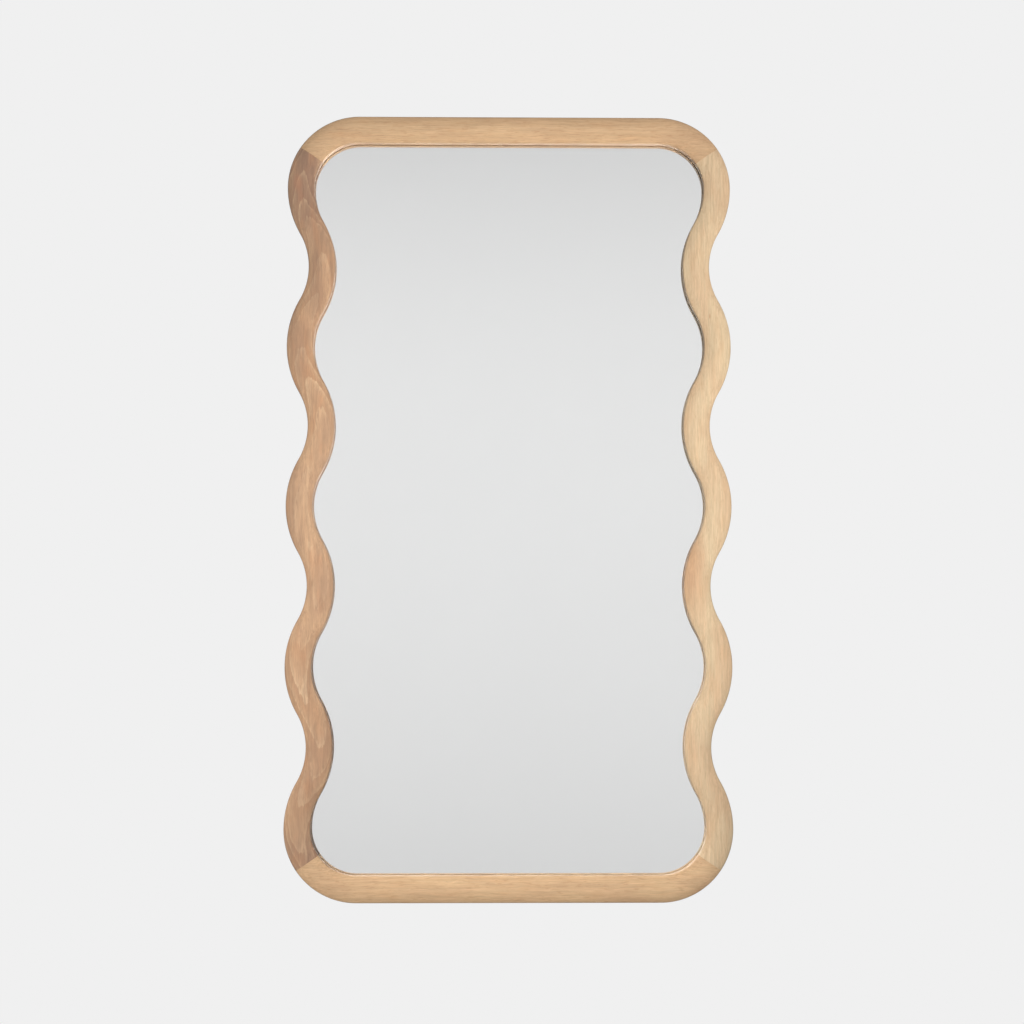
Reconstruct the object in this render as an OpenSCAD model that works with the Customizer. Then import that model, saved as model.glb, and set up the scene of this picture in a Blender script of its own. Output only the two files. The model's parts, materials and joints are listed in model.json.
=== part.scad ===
// Wall mirror in a wavy solid oak frame, for a vanity
// Units are millimetres. X runs along the width, Z up, and the front faces -Y.
// The origin is in the middle of the wall plane, on which the four bumpers rest.
// Every piece is drawn lying on its back, with its depth along Z, and stood up by stand().

/* [Frame] */
// Overall width of the frame
frame_w = 610; // [540:5:760]
// Overall height of the frame
frame_h = 1076; // [960:2:1240]
// Width of the moulding's face, from sight edge to outer edge
face_w = 36.5; // [34:0.5:46]
// Depth of the moulding, from its back to the top of its crown
frame_d = 25.5; // [24:0.5:50]
// Outer radius of the four corners
corner_r = 99; // [85:0.5:115]
// Whole waves along each stile
waves = 4; // [3:1:5]
// Depth of the wave, from bulge to hollow
wave_depth = 29.4; // [24:0.1:36]
// Angle of the joint between stile and rail, above the corner's centre
joint_angle = 34; // [25:1:45]

/* [Moulding] */
// Radius of the crown's shoulders
shoulder_r = 3.5; // [2:0.5:8]
// Rise of the crown's middle above the tops of its two shoulders
crown_rise = 4; // [3:0.5:8]
// Chamfer on the outer back edge
back_ease = 1.5; // [0.5:0.25:3]
// Width of the rebate that holds the glass
glass_lap = 7; // [5:0.5:9]
// Width of the ledge that the backing board is screwed to
board_lap = 8; // [7:0.5:10]

/* [Glass and backing] */
// Thickness of the glass
glass_t = 4; // [3:1:6]
// Gap between the glass and the side of its rebate
glass_gap = 1.5; // [1:0.25:2.5]
// Thickness of the cushion strip behind the glass
cushion_t = 1; // [0.5:0.25:2]
// Width of the cushion strip
cushion_w = 5; // [3:0.5:5]
// Thickness of the backing board
board_t = 3; // [2.5:0.5:5]
// Gap between the backing board and the side of its rebate
board_gap = 0.5; // [0.25:0.25:1.5]
// Depth of the backing board below the back of the frame
board_inset = 0.5; // [0.25:0.25:1.5]
// Length of each block that the glass stands on
block_l = 30; // [20:5:50]
// Distance between the two blocks, middle to middle
block_span = 240; // [160:10:320]

/* [Dowels] */
// Diameter of a corner dowel
dowel_d = 8; // [6:1:10]
// Length of a corner dowel
dowel_l = 40; // [30:2:46]
// Chamfer at a dowel's ends
dowel_ease = 1; // [0.5:0.25:1.5]
// Distance between the two dowels of a joint, middle to middle
dowel_span = 10.5; // [10:0.5:13]
// Height of the lower dowel's middle above the back
dowel_z = 7.5; // [5.5:0.5:9.5]
// Offset of the dowels outward from the moulding's middle line
dowel_shift = 4; // [2:0.5:6]
// Radial gap round a dowel
dowel_fit = 0.05; // [0.05:0.05:0.15]

/* [Board screws] */
// Shank diameter of a board screw
board_screw_d = 3; // [2.5:0.5:3.5]
// Head diameter of a board screw
board_head_d = 5.6; // [5:0.2:6.4]
// Head height of a board screw
board_head_h = 1.8; // [1.4:0.2:2.4]
// Length of a board screw under its head
board_screw_l = 14; // [12:1:18]
// Distance between the two board screws in each rail
board_screw_span = 220; // [140:10:320]

/* [Hangers] */
// Width of a hanger's strap
strap_w = 11; // [10:0.5:12.5]
// Thickness of a hanger's strap
strap_t = 1.2; // [1:0.1:1.4]
// Length of a hanger's strap below the ring's axis
strap_l = 50; // [47:1:54]
// Distance from the ring's axis to the nearer screw
strap_hole_1 = 30; // [29:0.5:31]
// Distance from the ring's axis to the farther screw
strap_hole_2 = 43; // [40:0.5:44]
// Diameter of the ring's wire
wire_d = 3; // [2.6:0.1:3.2]
// Clear width inside the ring
ring_w = 16; // [15:0.5:18]
// Length of the ring, from its axis to the middle of its far wire
ring_l = 22; // [19:0.5:24]
// Bend radius of the ring's two corners, at the middle of the wire
ring_bend = 3.2; // [2.6:0.2:4]
// Radial gap between the wire and the strap's eye
eye_fit = 0.15; // [0.1:0.05:0.25]
// Height of the hangers' axis above the middle of the bulge that carries them
hanger_rise = 22; // [14:1:26]

/* [Hanger screws] */
// Shank diameter of a hanger screw
hanger_screw_d = 3.5; // [3:0.5:4]
// Head diameter of a hanger screw
hanger_head_d = 6.8; // [6:0.2:7.6]
// Head height of a hanger screw
hanger_head_h = 2.2; // [1.8:0.2:2.6]
// Length of a hanger screw under its head
hanger_screw_l = 18; // [14:1:22]

/* [Bumpers] */
// Diameter of a wall bumper
bumper_d = 12; // [10:0.5:14]
// Height of a wall bumper, which sets the gap between frame and wall
bumper_t = 6.4; // [6.2:0.2:9]
// Angle of the bumpers round the corner, above the corner's centre
bumper_angle = 66; // [60:1:80]

/* [Hidden] */
$fn = 96;

// How far a cutter runs past what it cuts
over = 1;
// How far a screw's pilot hole is wider than its shank, on the radius
pilot_fit = 0.05;
// How far a hole is wider than the screw that passes through it, on the radius
pass_fit = 0.3;
// Space at the end of a blind hole
blind_gap = 0.5;
// Shares of a screw head's height: its straight rim and the rounding above it
rim_share = 0.3;
round_share = 1 - rim_share;
// Shares of a bumper: the height of its foot, and the radius of its face
foot_share = 0.3;
face_share = 0.6;

// The moulding's own middle line is at half its face from either edge.
half = face_w / 2;
crown_h = shoulder_r + crown_rise;
spring = frame_d - crown_h;
board_rebate_z = board_inset + board_t;
glass_rebate_z = board_rebate_z + cushion_t + glass_t;
sight_edge = -half;
glass_rebate_edge = sight_edge + glass_lap;
board_rebate_edge = glass_rebate_edge + board_lap;
glass_edge = glass_rebate_edge - glass_gap;
board_edge = board_rebate_edge - board_gap;
ledge_mid = (glass_rebate_edge + board_edge) / 2;
land_mid = (board_rebate_edge + half - back_ease) / 2;

// The crown is a three-centred arch: two shoulders and a dome that touches both.
shoulder_x = half - shoulder_r;
dome_r = (shoulder_x * shoulder_x + crown_h * crown_h - shoulder_r * shoulder_r)
    / (2 * crown_rise);
dome_z = frame_d - dome_r;

// Places and radii of neighbouring arcs agree to a thousandth, so that they meet face to face.
function fine(v) = round(v * 1000) / 1000;

// The stile is a chain of equal arcs that touch each other, bulge and hollow in turn.
// Two neighbouring centres lie twice the bend radius apart.
side = frame_h - 2 * corner_r;
last = 2 * waves;
step = side / last;
bend_r = fine((step * step + wave_depth * wave_depth) / (4 * wave_depth));
bulge_x = frame_w / 2 - half - bend_r;
hollow_x = frame_w / 2 - half - wave_depth + bend_r;
function is_bulge(k) = k % 2 == 0;
function arc_centre(k) = [is_bulge(k) ? bulge_x : hollow_x, fine(k * step - side / 2)];

// The corner arcs' centres, and the radius of their middle line
corner_x = frame_w / 2 - corner_r;
corner_y = fine(side / 2);
turn_r = corner_r - half;
reach = 2 * corner_r;
joint_rise = fine(reach * tan(joint_angle));
rail_y = corner_y + turn_r;

// The hangers sit on the bulge that is one wave above the middle.
hanger_k = 2 * floor(waves / 2) + 2;
hanger_x = frame_w / 2 - half + land_mid;
hanger_y = arc_centre(hanger_k).y + hanger_rise;
wire_r = wire_d / 2;
eye_r = wire_r + eye_fit;
axis_z = -(strap_t + eye_r);
ring_half = ring_w / 2 + wire_r;

oak = "#dcbb90";
steel = "#c3c5c6";

// Stands a piece up, with the wall plane at Y = 0.
module stand() {
    rotate([90, 0, 0])
        translate([0, 0, bumper_t])
            children();
}

// The moulding's cross-section, with the sight edge on the left and the back at the bottom
module section() {
    difference() {
        union() {
            translate([-half, 0])
                square([face_w, spring]);
            for (s = [-1, 1])
                translate([s * shoulder_x, spring])
                    circle(r = shoulder_r);
            intersection() {
                translate([0, dome_z])
                    circle(r = dome_r);
                dome_sector();
            }
        }
        translate([-half - over, -over])
            square([glass_lap + over, glass_rebate_z + over]);
        translate([-half - over, -over])
            square([glass_lap + board_lap + over, board_rebate_z + over]);
        translate([half, 0])
            rotate(45)
                square(back_ease * sqrt(2), center = true);
    }
}

// The part of the dome between the lines from its centre through the shoulders' centres.
// It starts inside the straight part, because the centre of a flat dome is behind the back.
module dome_sector() {
    slope = shoulder_x / (spring - dome_z);
    low = max(dome_z, spring / 2);
    high = dome_z + 2 * dome_r;
    polygon([
        [-slope * (low - dome_z), low],
        [slope * (low - dome_z), low],
        [slope * (high - dome_z), high],
        [-slope * (high - dome_z), high]
    ]);
}

// A whole turned ring of moulding, with its sight edge inward, or outward in a hollow
module turned_ring(centre, r, hollow = false) {
    translate(centre)
        rotate_extrude()
            translate([r, 0])
                mirror([hollow ? 1 : 0, 0, 0])
                    section();
}

// A prism that cuts a ring along planes through its axis
module cutting_prism(points) {
    translate([0, 0, -over])
        linear_extrude(frame_d + 2 * over)
            polygon(points);
}

// Arc k lies in the triangle of its own centre and its neighbours' centres.
// The end arcs are half bulges, which stop level with their centres.
function arc_bounds(k) =
    let (c = arc_centre(k))
    [
        k > 0 ? arc_centre(k - 1) : [arc_centre(1).x, c.y],
        c,
        k < last ? arc_centre(k + 1) : [arc_centre(last - 1).x, c.y]
    ];

// The right stile's moulding, from joint to joint
module stile_moulding() {
    for (k = [0:last])
        intersection() {
            turned_ring(arc_centre(k), bend_r, !is_bulge(k));
            cutting_prism(arc_bounds(k));
        }
    for (s = [-1, 1])
        intersection() {
            turned_ring([corner_x, s * corner_y], turn_r);
            cutting_prism([
                [corner_x, s * corner_y],
                [corner_x + reach, s * corner_y],
                [corner_x + reach, s * (corner_y + joint_rise)]
            ]);
        }
}

// The top rail's moulding, from joint to joint
module rail_moulding() {
    for (s = [-1, 1])
        intersection() {
            turned_ring([s * corner_x, corner_y], turn_r);
            cutting_prism([
                [s * corner_x, corner_y],
                [s * (corner_x + reach), corner_y + joint_rise],
                [s * (corner_x + reach), corner_y + reach],
                [s * corner_x, corner_y + reach]
            ]);
        }
    intersection() {
        translate([0, rail_y, 0])
            rotate([90, 0, 90])
                linear_extrude(2 * corner_x + 2 * over, center = true)
                    section();
        cutting_prism([
            [-corner_x, corner_y],
            [corner_x, corner_y],
            [corner_x, corner_y + reach],
            [-corner_x, corner_y + reach]
        ]);
    }
}

// The area inside a line that runs beside the moulding's middle line, offset outward by u
module outline(u) {
    square([2 * corner_x, 2 * (rail_y + u)], center = true);
    wavy_area(u);
    for (sx = [-1, 1])
        for (sy = [-1, 1])
            on_side(sx)
                mirror([0, sy < 0 ? 1 : 0, 0])
                    intersection() {
                        translate([corner_x, corner_y])
                            circle(r = turn_r + u);
                        translate([corner_x - reach, corner_y])
                            square(2 * reach);
                    }
}

// The part of that area between the levels of the corners' centres: the polygon through the
// arcs' centres, with a disc added at each bulge and one taken away at each hollow
module wavy_area(u) {
    difference() {
        intersection() {
            union() {
                polygon([
                    for (k = [0:last]) arc_centre(k),
                    for (k = [last:-1:0]) [-arc_centre(k).x, arc_centre(k).y]
                ]);
                for (sx = [-1, 1])
                    for (k = [0:2:last])
                        translate([sx * arc_centre(k).x, arc_centre(k).y])
                            circle(r = bend_r + u);
            }
            square([2 * frame_w, 2 * corner_y], center = true);
        }
        for (sx = [-1, 1])
            for (k = [1:2:last])
                translate([sx * arc_centre(k).x, arc_centre(k).y])
                    circle(r = bend_r - u);
    }
}

// The right side as drawn, or its mirror image on the left
module on_side(sx) {
    mirror([sx < 0 ? 1 : 0, 0, 0])
        children();
}

// Places its children at a joint, with Y along the moulding and X outward from its middle line
module at_joint(sx, sy) {
    on_side(sx)
        mirror([0, sy < 0 ? 1 : 0, 0])
            translate([corner_x, corner_y, 0])
                rotate([0, 0, joint_angle])
                    translate([turn_r + dowel_shift, 0, 0])
                        children();
}

// Places its children at the two dowels of a joint, with Z along them
module at_dowels() {
    for (z = [dowel_z, dowel_z + dowel_span])
        translate([0, 0, z])
            rotate([90, 0, 0])
                children();
}

// A dowel with both ends chamfered
module dowel() {
    r = dowel_d / 2;
    h = dowel_l / 2;
    rotate_extrude()
        polygon([
            [0, -h],
            [r - dowel_ease, -h],
            [r, dowel_ease - h],
            [r, h - dowel_ease],
            [r - dowel_ease, h],
            [0, h]
        ]);
}

module dowel_bores(sx, sy) {
    at_joint(sx, sy)
        at_dowels()
            cylinder(r = dowel_d / 2 + dowel_fit, h = dowel_l + 2 * blind_gap, center = true);
}

// Where the board screws stand on a stile's ledge, one at each bulge
function stile_screws() = [
    for (k = [0:2:last]) [frame_w / 2 - half + ledge_mid, arc_centre(k).y]
];

// Where the board screws stand on the top rail's ledge
function rail_screws() = [
    for (s = [-1, 1]) [s * board_screw_span / 2, rail_y + ledge_mid]
];

// Where the screws of the right hanger stand
function strap_screws() = [
    for (d = [strap_hole_1, strap_hole_2]) [hanger_x, hanger_y - d]
];

// Pilot holes from the back, for screws that end at height tip
module pilot_holes(points, d, tip) {
    for (p = points)
        translate([p.x, p.y, -over])
            cylinder(d = d + 2 * pilot_fit, h = tip + blind_gap + over);
}

// A pan-head screw, pointing up, that bears at Z = 0
module pan_screw(d, l, head_d, head_h) {
    point_h = d;
    round_r = head_h * round_share;
    rotate_extrude() {
        polygon([[0, 0], [d / 2, 0], [d / 2, l - point_h], [0, l]]);
        translate([0, -head_h])
            square([head_d / 2 - round_r, head_h]);
        translate([0, -head_h * rim_share])
            square([head_d / 2, head_h * rim_share]);
        translate([head_d / 2 - round_r, -head_h * rim_share])
            intersection() {
                circle(r = round_r);
                translate([0, -round_r])
                    square(round_r);
            }
    }
}

module right_stile_flat() {
    difference() {
        stile_moulding();
        for (sy = [-1, 1])
            dowel_bores(1, sy);
        pilot_holes(stile_screws(), board_screw_d, board_inset + board_screw_l);
        pilot_holes(strap_screws(), hanger_screw_d, hanger_screw_l - strap_t);
    }
}

module top_rail_flat() {
    difference() {
        rail_moulding();
        for (sx = [-1, 1])
            dowel_bores(sx, 1);
        pilot_holes(rail_screws(), board_screw_d, board_inset + board_screw_l);
    }
}

module top_rail() {
    color(oak)
        stand()
            top_rail_flat();
}

module bottom_rail() {
    color(oak)
        stand()
            mirror([0, 1, 0])
                top_rail_flat();
}

module right_stile() {
    color(oak)
        stand()
            right_stile_flat();
}

module left_stile() {
    color(oak)
        stand()
            mirror([1, 0, 0])
                right_stile_flat();
}

module joint_dowels(sx, sy) {
    color("#e3cfa6")
        stand()
            at_joint(sx, sy)
                at_dowels()
                    dowel();
}

module mirror_glass() {
    color("#cfd6d8")
        stand()
            translate([0, 0, glass_rebate_z - glass_t])
                linear_extrude(glass_t)
                    outline(glass_edge);
}

module cushion_strip() {
    color("#3b3b3b")
        stand()
            translate([0, 0, board_rebate_z])
                linear_extrude(cushion_t)
                    difference() {
                        outline(glass_edge);
                        outline(glass_edge - cushion_w);
                    }
}

module backing_board() {
    color("#8a6b4c")
        stand()
            difference() {
                translate([0, 0, board_inset])
                    linear_extrude(board_t)
                        outline(board_edge);
                for (p = board_screw_places())
                    translate([p.x, p.y, board_inset - over])
                        cylinder(r = board_screw_d / 2 + pass_fit, h = board_t + 2 * over);
            }
}

// Every board screw, on both stiles and both rails
function board_screw_places() = [
    for (s = [-1, 1]) for (p = stile_screws()) [s * p.x, p.y],
    for (s = [-1, 1]) for (p = rail_screws()) [p.x, s * p.y]
];

module backing_screws() {
    color(steel)
        stand()
            for (p = board_screw_places())
                translate([p.x, p.y, board_inset])
                    pan_screw(board_screw_d, board_screw_l, board_head_d, board_head_h);
}

// A block in the bottom rail's rebate, which carries the glass
module setting_block(s) {
    color("#2f2f2f")
        stand()
            translate([s * block_span / 2 - block_l / 2, -rail_y - glass_rebate_edge,
                       glass_rebate_z - glass_t])
                cube([block_l, glass_gap, glass_t]);
}

// The strap of the right hanger: a plate with a rounded end, rolled into an eye round the wire
module strap_flat() {
    difference() {
        union() {
            translate([-strap_w / 2, -strap_l + strap_w / 2, -strap_t])
                cube([strap_w, strap_l - strap_w / 2, strap_t]);
            translate([0, -strap_l + strap_w / 2, -strap_t])
                cylinder(d = strap_w, h = strap_t);
            translate([0, 0, axis_z])
                rotate([0, 90, 0])
                    cylinder(r = eye_r + strap_t, h = strap_w, center = true);
        }
        translate([0, 0, axis_z])
            rotate([0, 90, 0])
                cylinder(r = eye_r, h = strap_w + 2 * over, center = true);
        for (d = [strap_hole_1, strap_hole_2])
            translate([0, -d, -strap_t - over])
                cylinder(r = hanger_screw_d / 2 + pass_fit, h = strap_t + 2 * over);
    }
}

module hanger_strap(s) {
    color(steel)
        stand()
            translate([s * hanger_x, hanger_y, 0])
                strap_flat();
}

// The D ring, hanging from its axis along X: bar, two bends, two sides and a round end
module ring_flat() {
    bar = ring_half - ring_bend;
    side_l = ring_l - ring_half - ring_bend;
    rotate([0, 90, 0])
        cylinder(r = wire_r, h = 2 * bar, center = true);
    for (s = [-1, 1]) {
        translate([s * bar, -ring_bend, 0])
            intersection() {
                rotate_extrude()
                    translate([ring_bend, 0])
                        circle(r = wire_r);
                translate([s > 0 ? 0 : -2 * ring_bend, 0, -ring_bend])
                    cube(2 * ring_bend);
            }
        translate([s * ring_half, -ring_bend, 0])
            rotate([90, 0, 0])
                cylinder(r = wire_r, h = side_l);
    }
    translate([0, -ring_bend - side_l, 0])
        intersection() {
            rotate_extrude()
                translate([ring_half, 0])
                    circle(r = wire_r);
            translate([-ring_w, -2 * ring_w, -ring_bend])
                cube([2 * ring_w, 2 * ring_w, 2 * ring_bend]);
        }
}

module hanger_ring(s) {
    color("#b9bbbd")
        stand()
            translate([s * hanger_x, hanger_y, axis_z])
                ring_flat();
}

module hanger_screws() {
    color(steel)
        stand()
            for (s = [-1, 1])
                for (p = strap_screws())
                    translate([s * p.x, p.y, -strap_t])
                        pan_screw(hanger_screw_d, hanger_screw_l, hanger_head_d, hanger_head_h);
}

// A rubber bumper: a short foot, and a dome that ends in a flat face
module bumper_body() {
    foot_h = bumper_t * foot_share;
    dome_h = bumper_t - foot_h;
    foot_r = bumper_d / 2;
    face_r = foot_r * face_share;
    round_r = (dome_h * dome_h + (foot_r - face_r) * (foot_r - face_r)) / (2 * (foot_r - face_r));
    rotate_extrude() {
        translate([0, -foot_h])
            square([foot_r, foot_h]);
        intersection() {
            translate([foot_r - round_r, -foot_h])
                circle(r = round_r);
            translate([0, -bumper_t])
                square([foot_r, dome_h]);
        }
    }
}

// The bumper on the back of a corner
module bumper(sx, sy) {
    color("#4a4a4a")
        stand()
            on_side(sx)
                mirror([0, sy < 0 ? 1 : 0, 0])
                    translate([corner_x, corner_y, 0])
                        rotate([0, 0, bumper_angle])
                            translate([turn_r + land_mid, 0, 0])
                                bumper_body();
}

top_rail();
bottom_rail();
left_stile();
right_stile();
joint_dowels(-1, 1);  // top_left_dowels
joint_dowels(1, 1);  // top_right_dowels
joint_dowels(-1, -1);  // bottom_left_dowels
joint_dowels(1, -1);  // bottom_right_dowels
mirror_glass();
cushion_strip();
backing_board();
backing_screws();
setting_block(-1);  // left_setting_block
setting_block(1);  // right_setting_block
hanger_strap(-1);  // left_hanger_strap
hanger_strap(1);  // right_hanger_strap
hanger_ring(-1);  // left_hanger_ring
hanger_ring(1);  // right_hanger_ring
hanger_screws();
bumper(-1, 1);  // top_left_bumper
bumper(1, 1);  // top_right_bumper
bumper(-1, -1);  // bottom_left_bumper
bumper(1, -1);  // bottom_right_bumper
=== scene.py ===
"""A wavy oak vanity mirror: looks, stage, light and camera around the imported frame."""
import json
import math

import bmesh
import bpy
from mathutils import Matrix, Vector

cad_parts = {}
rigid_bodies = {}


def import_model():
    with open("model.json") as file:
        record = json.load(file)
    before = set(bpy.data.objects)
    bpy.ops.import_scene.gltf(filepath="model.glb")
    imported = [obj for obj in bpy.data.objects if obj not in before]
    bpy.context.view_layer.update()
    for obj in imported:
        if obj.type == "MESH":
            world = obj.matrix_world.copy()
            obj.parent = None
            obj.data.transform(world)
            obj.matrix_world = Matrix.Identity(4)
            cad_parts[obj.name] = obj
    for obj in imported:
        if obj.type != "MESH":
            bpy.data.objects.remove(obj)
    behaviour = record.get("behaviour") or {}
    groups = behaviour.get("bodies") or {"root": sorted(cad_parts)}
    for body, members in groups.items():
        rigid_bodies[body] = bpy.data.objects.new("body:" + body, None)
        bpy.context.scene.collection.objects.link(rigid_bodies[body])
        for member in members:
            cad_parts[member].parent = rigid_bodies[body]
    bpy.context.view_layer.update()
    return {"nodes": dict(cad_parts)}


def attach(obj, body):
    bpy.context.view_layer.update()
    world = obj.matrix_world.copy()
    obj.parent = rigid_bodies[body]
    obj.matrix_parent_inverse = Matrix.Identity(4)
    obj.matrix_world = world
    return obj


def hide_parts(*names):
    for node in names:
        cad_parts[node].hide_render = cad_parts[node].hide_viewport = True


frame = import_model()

# Sizes in millimetres, as in the part's source. Pieces are drawn lying on their back, with
# X along the width, Y up the mirror and Z toward the viewer, and stood up by STAND.
MM = 0.001

# The frame, and the middle line that its moulding follows
FRAME_W = 610
FRAME_H = 1076
FRAME_D = 25.5
CORNER_R = 99
WAVES = 4
WAVE_DEPTH = 29.4
JOINT_ANGLE = 34

# The moulding's section, across its middle line: half its width, its crown and its rebates
HALF = 18.25
CROWN_H = 7.5
SHOULDER_R = 3.5
BACK_EASE = 1.5
BOARD_REBATE_Z = 3.5
BOARD_REBATE_EDGE = -3.25
GLASS_REBATE_Z = 8.5
GLASS_REBATE_EDGE = -11.25

# The glass and the board, and the middles of the ledge and the land beside them
GLASS_T = 4
GLASS_EDGE = -12.75
BOARD_INSET = 0.5
LEDGE_MID = -7.5
LAND_MID = 6.75

# Bumpers, hangers and screws
BUMPER_D = 12
BUMPER_T = 6.4
BUMPER_ANGLE = 66
STRAP_W = 11
STRAP_T = 1.2
STRAP_L = 50
STRAP_HOLES = (30, 43)
WIRE_R = 1.5
RING_W = 16
RING_L = 22
RING_BEND = 3.2
EYE_R = 1.65
HANGER_RISE = 22
RAIL_SCREW_X = 110
BOARD_SCREW = {"d": 3, "length": 14, "head_d": 5.6, "head_h": 1.8}
HANGER_SCREW = {"d": 3.5, "length": 18, "head_d": 6.8, "head_h": 2.2}

# Places and radii that follow from these
SPRING = FRAME_D - CROWN_H
SHOULDER_X = HALF - SHOULDER_R
DOME_R = (SHOULDER_X ** 2 + CROWN_H ** 2 - SHOULDER_R ** 2) / (2 * (CROWN_H - SHOULDER_R))
DOME_Z = FRAME_D - DOME_R
CORNER_X = FRAME_W / 2 - CORNER_R
CORNER_Y = FRAME_H / 2 - CORNER_R
TURN_R = CORNER_R - HALF
RAIL_Y = CORNER_Y + TURN_R
LAST = 2 * WAVES
STEP = 2 * CORNER_Y / LAST
BEND_R = (STEP ** 2 + WAVE_DEPTH ** 2) / (4 * WAVE_DEPTH)
BULGE_X = FRAME_W / 2 - HALF - BEND_R
HOLLOW_X = FRAME_W / 2 - HALF - WAVE_DEPTH + BEND_R
BEND_ANGLE = math.degrees(math.asin(STEP / 2 / BEND_R))
HANGER_X = FRAME_W / 2 - HALF + LAND_MID
HANGER_Y = 2 * STEP + HANGER_RISE
AXIS_Z = -(STRAP_T + EYE_R)
SILVER_Z = GLASS_REBATE_Z - GLASS_T

# Detail that only the looks have: how far edges are eased, and how fine the roundings are
ARRIS_R = 0.4
JOINT_EASE = 0.22
PLATE_EASE = 0.15
SILVER_T = 0.05
ARC_STEP = 2.0
SAME_PLACE = 0.01
SHARP_ANGLE = 35
ARRIS_FACETS = 4
SHOULDER_FACETS = 10
DOME_FACETS = 20
BACK_FACETS = 5
LEDGE_FACETS = 3

STAND = Matrix((
    (MM, 0, 0, 0),
    (0, 0, -MM, -BUMPER_T * MM),
    (0, MM, 0, 0),
    (0, 0, 0, 1),
))


# ---- shapes ----

def arc(centre, radius, start, end, outward=1):
    """Stations along an arc, in degrees: place, and the direction outward from the mirror."""
    count = max(2, math.ceil(abs(end - start) / ARC_STEP))
    stations = []
    for i in range(count + 1):
        angle = math.radians(start + (end - start) * i / count)
        c, s = math.cos(angle), math.sin(angle)
        stations.append((centre[0] + radius * c, centre[1] + radius * s, outward * c, outward * s))
    return stations


def joined(arcs):
    """One list of stations, with each arc's first dropped where the arc before ends there."""
    stations = list(arcs[0])
    for a in arcs[1:]:
        near = math.dist(stations[-1][:2], a[0][:2]) < SAME_PLACE
        stations += a[1:] if near else a
    return stations


def mirrored(stations, sx=1, sy=1):
    """The stations turned over, left to right with sx = -1 or top to bottom with sy = -1."""
    return [(sx * x, sy * y, sx * nx, sy * ny) for x, y, nx, ny in stations]


def stile_path():
    """The right stile's middle line, from its bottom joint to its top joint."""
    arcs = [arc((CORNER_X, -CORNER_Y), TURN_R, -JOINT_ANGLE, 0)]
    for k in range(LAST + 1):
        y = k * STEP - CORNER_Y
        low = BEND_ANGLE if k > 0 else 0
        high = BEND_ANGLE if k < LAST else 0
        if k % 2 == 0:
            arcs.append(arc((BULGE_X, y), BEND_R, -low, high))
        else:
            arcs.append(arc((HOLLOW_X, y), BEND_R, 180 + low, 180 - high, -1))
    arcs.append(arc((CORNER_X, CORNER_Y), TURN_R, 0, JOINT_ANGLE))
    return joined(arcs)


def rail_path():
    """The top rail's middle line, from its right joint to its left joint."""
    return joined([
        arc((CORNER_X, CORNER_Y), TURN_R, JOINT_ANGLE, 90),
        arc((-CORNER_X, CORNER_Y), TURN_R, 90, 180 - JOINT_ANGLE),
    ])


def frame_path():
    """The whole middle line, once round the mirror."""
    right, top = stile_path(), rail_path()
    left = mirrored(right, -1)[::-1]
    bottom = mirrored(top, 1, -1)[::-1]
    return joined([right, top, left, bottom])[:-1]


def offset_outline(u):
    """The outline at a distance from the middle line, outward."""
    return [(x + u * nx, y + u * ny) for x, y, nx, ny in frame_path()]


def round_points(u, z, radius, start, end, count):
    """Points on an arc, in degrees, round the centre (u, z)."""
    points = []
    for i in range(count + 1):
        angle = math.radians(start + (end - start) * i / count)
        points.append((u + radius * math.cos(angle), z + radius * math.sin(angle)))
    return points


def moulding_profile():
    """The moulding's cross-section, with a small rounding on its arrises."""
    tangent = math.degrees(math.atan2(SPRING - DOME_Z, SHOULDER_X))
    r, rr, e = SHOULDER_R, BACK_EASE, ARRIS_R
    points = round_points(-HALF + e, GLASS_REBATE_Z + e, e, 270, 180, ARRIS_FACETS)
    points += round_points(-SHOULDER_X, SPRING, r, 180, 180 - tangent, SHOULDER_FACETS)
    points += round_points(0, DOME_Z, DOME_R, 180 - tangent, tangent, DOME_FACETS)[1:]
    points += round_points(SHOULDER_X, SPRING, r, tangent, 0, SHOULDER_FACETS)[1:]
    points += round_points(HALF - rr, rr, rr, 0, -90, BACK_FACETS)
    points += round_points(BOARD_REBATE_EDGE + e, e, e, 270, 180, LEDGE_FACETS)
    points += [
        (BOARD_REBATE_EDGE, BOARD_REBATE_Z),
        (GLASS_REBATE_EDGE, BOARD_REBATE_Z),
        (GLASS_REBATE_EDGE, GLASS_REBATE_Z),
    ]
    return points


def circle_profile(radius, count):
    turn = 2 * math.pi / count
    return [(radius * math.cos(i * turn), radius * math.sin(i * turn)) for i in range(count)]


def inset(profile, amount):
    """The closed profile drawn in by a small amount all round."""
    moved = []
    for i, (u, z) in enumerate(profile):
        before, after = profile[i - 1], profile[(i + 1) % len(profile)]
        along = Vector((after[0] - before[0], after[1] - before[1])).normalized()
        moved.append((u + amount * along.y, z - amount * along.x))
    return moved


def add_tube(bm, loops, cyclic=False):
    """Faces from loop to loop, with both ends closed off, or joined where it is cyclic."""
    pairs = list(zip(loops, loops[1:]))
    if cyclic:
        pairs.append((loops[-1], loops[0]))
    else:
        bm.faces.new(loops[0][::-1])
        bm.faces.new(loops[-1])
    count = len(loops[0])
    for a, b in pairs:
        for i in range(count):
            j = (i + 1) % count
            bm.faces.new((a[i], a[j], b[j], b[i]))


def add_sweep(bm, stations, profiles, cyclic=False):
    """Sweeps a closed profile along the stations. There is one profile for each station."""
    loops = []
    for (x, y, nx, ny), profile in zip(stations, profiles):
        loops.append([bm.verts.new((x + u * nx, y + u * ny, z)) for u, z in profile])
    add_tube(bm, loops, cyclic)


def add_slab(bm, points, low, high):
    """A flat slab with that outline."""
    add_tube(bm, [[bm.verts.new((x, y, z)) for x, y in points] for z in (low, high)])


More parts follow.
